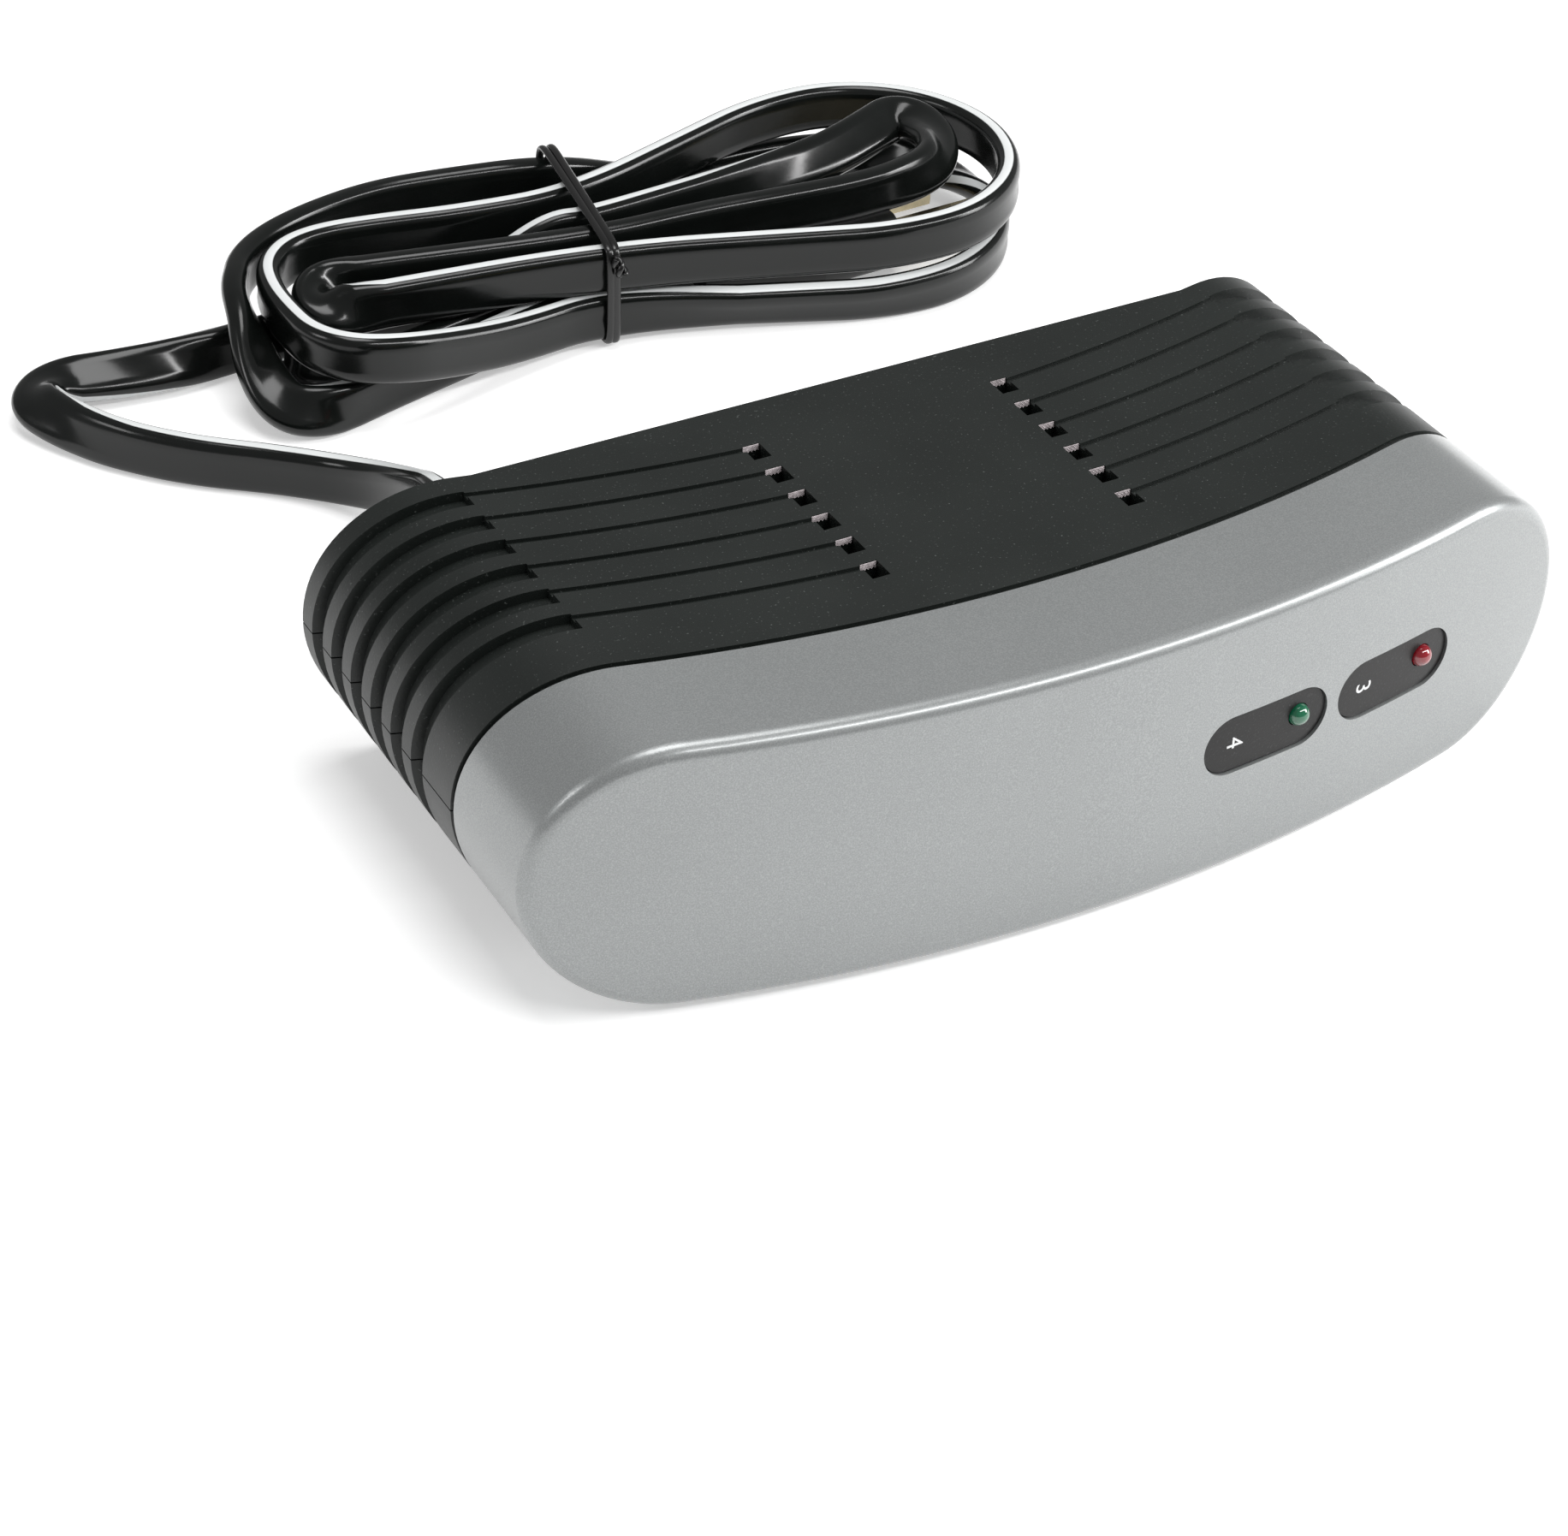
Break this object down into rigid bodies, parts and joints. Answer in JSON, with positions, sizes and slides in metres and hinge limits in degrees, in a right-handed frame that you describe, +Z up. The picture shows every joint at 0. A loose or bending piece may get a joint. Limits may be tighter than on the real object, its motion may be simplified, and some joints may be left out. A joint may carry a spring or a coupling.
{
  "type": "rf modulator",
  "caption": "Flat black case with round ends, ribs and vents, a silver bowed front cap with two indicator windows, rear jacks, a channel slide switch and a bundled flat mains cord.",
  "frame": {"origin": "on the resting plane under the middle of the case, jacks included and the cord left out", "axes": "+X along the width, the bowed front faces -Y, +Z up"},
  "size_m": [0.1616, 0.1944, 0.0395],
  "materials": {
    "black_plastic": "fine textured black plastic",
    "silver_paint": "silver metallic paint on plastic",
    "window_grey": "smooth dark grey",
    "lamp_red": "tinted clear plastic",
    "lamp_green": "tinted clear plastic",
    "circuit_board": "solder mask",
    "component_black": "moulded",
    "tinned_steel": "tinned sheet",
    "nickel": "nickel plated",
    "zinc_steel": "zinc plated",
    "core_steel": "laminated",
    "copper_winding": "taped copper wire",
    "bobbin_white": "moulded",
    "heat_sink_aluminium": "extruded",
    "insulator_white": "moulded",
    "phono_red": "moulded",
    "phono_white": "moulded",
    "phono_yellow": "moulded",
    "wire_insulation": "soft plastic",
    "rubber_black": "matt rubber",
    "cord_jacket": "glossy black with a light stripe on one edge",
    "tie_plastic": "plastic-covered wire",
    "plug_plastic": "moulded",
    "blade_brass": "plated brass"
  },
  "bodies": {
    "case": {"upper_shell": "black_plastic", "lower_shell": "black_plastic", "front_bezel": "silver_paint", "channel_3_window": "window_grey", "channel_4_window": "window_grey", "red_indicator": "lamp_red", "green_indicator": "lamp_green", "indicator_board": "circuit_board", "indicator_wires": "wire_insulation", "rear_panel": "black_plastic", "main_board": "circuit_board", "rf_can": "tinned_steel", "rf_can_lid": "tinned_steel", "modulator_chip": "component_black", "tuned_coils": "component_black", "antenna_jack": "nickel", "antenna_jack_insulator": "insulator_white", "antenna_jack_nut": "nickel", "tv_jack": "nickel", "tv_jack_insulator": "insulator_white", "tv_jack_nut": "nickel", "right_audio_jack": "nickel", "right_audio_jack_insert": "phono_red", "right_audio_jack_collar": "phono_red", "left_audio_jack": "nickel", "left_audio_jack_insert": "phono_white", "left_audio_jack_collar": "phono_white", "video_jack": "nickel", "video_jack_insert": "phono_yellow", "video_jack_collar": "phono_yellow", "jack_block": "component_black", "channel_switch_body": "tinned_steel", "transformer_core": "core_steel", "transformer_bobbin": "bobbin_white", "transformer_winding": "copper_winding", "filter_capacitors": "component_black", "heat_sink": "heat_sink_aluminium", "voltage_regulator": "component_black", "case_screws": "zinc_steel", "board_screws": "zinc_steel", "rubber_feet": "rubber_black", "strain_relief": "rubber_black", "mains_wires": "wire_insulation", "mains_cord": "cord_jacket", "cord_hank": "cord_jacket", "cord_tie": "tie_plastic", "plug_body": "plug_plastic", "plug_blades": "blade_brass"},
    "slider": {"channel_switch_slider": "component_black"}
  },
  "joints": [
    {"name": "channel_switch_slide", "type": "slide", "parent": "case", "child": "slider", "axis": [1, 0, 0], "range_m": [0, 0.0026]}
  ]
}
